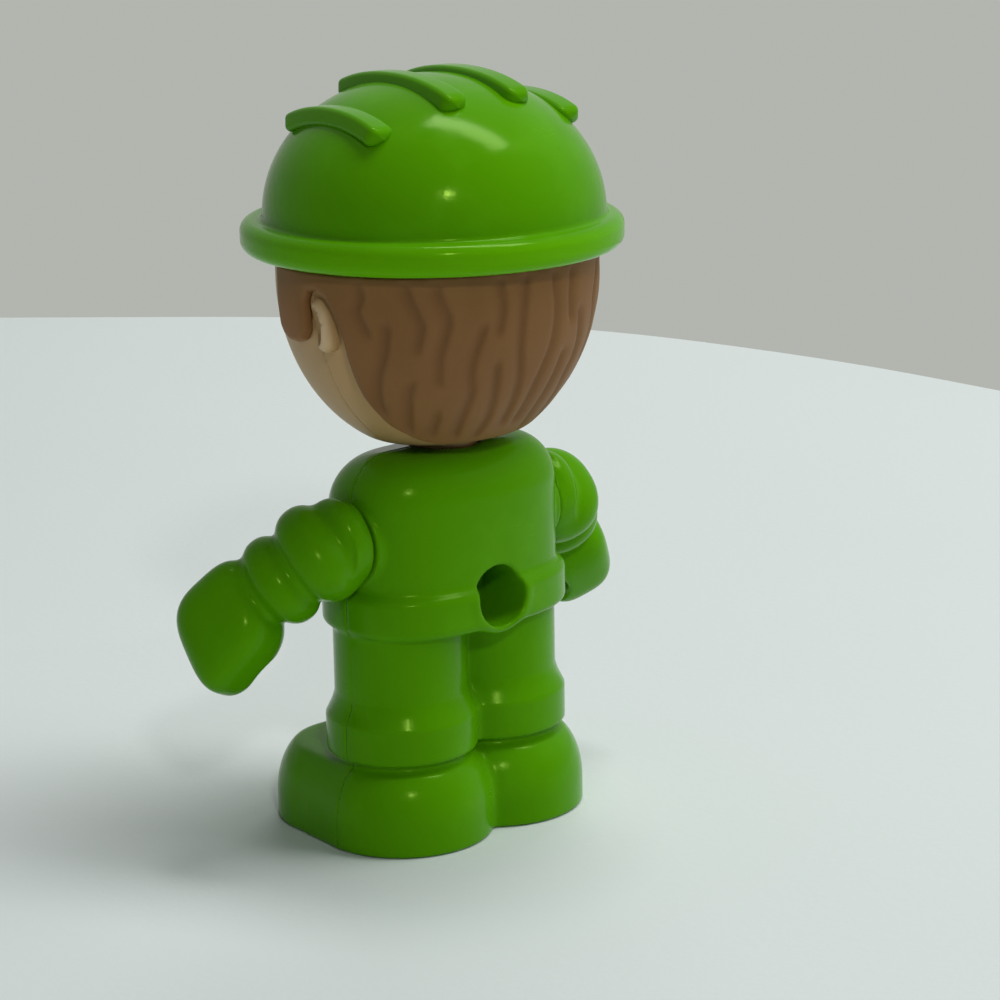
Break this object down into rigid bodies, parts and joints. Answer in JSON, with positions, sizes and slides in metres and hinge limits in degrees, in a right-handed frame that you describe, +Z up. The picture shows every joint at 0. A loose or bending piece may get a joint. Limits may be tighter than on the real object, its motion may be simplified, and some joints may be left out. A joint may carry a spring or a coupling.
{
  "type": "toy worker figure",
  "caption": "Chunky plastic toy worker with turning head and arms, ribbed helmet, wavy hair, grip hands and a peg socket in the back.",
  "frame": {"origin": "on the ground at the middle of the overall box, straight under the centre of the helmet brim", "axes": "+Z up from the soles to the helmet; the figure faces -Y; its left arm is on +X"},
  "size_m": [0.0568, 0.0396, 0.0802],
  "materials": {
    "green_body": "satin gloss moulded plastic, lime green",
    "green_helmet": "satin gloss moulded plastic, lime green",
    "skin": "satin moulded plastic, peach",
    "hair": "matte moulded plastic, brown",
    "ivory_peg": "plain moulded plastic inside the shoulder"
  },
  "bodies": {
    "body": {"body_front_shell": "green_body", "body_rear_shell": "green_body"},
    "left_arm_body": {"left_arm": "green_body", "left_shoulder_peg": "ivory_peg"},
    "right_arm_body": {"right_arm": "green_body", "right_shoulder_peg": "ivory_peg"},
    "head": {"neck_spool": "skin", "face_shell": "skin", "head_rear_shell": "skin", "hair_cap": "hair", "helmet": "green_helmet"}
  },
  "joints": [
    {"name": "left_shoulder", "type": "hinge", "parent": "body", "child": "left_arm_body", "pos_m": [0.0133, 0.001, 0.0324], "axis": [1, 0, 0], "continuous": true},
    {"name": "right_shoulder", "type": "hinge", "parent": "body", "child": "right_arm_body", "pos_m": [-0.0133, 0.001, 0.0324], "axis": [1, 0, 0], "continuous": true},
    {"name": "head_turn", "type": "hinge", "parent": "body", "child": "head", "pos_m": [0, 0.001, 0.0413], "axis": [0, 0, 1], "continuous": true}
  ]
}
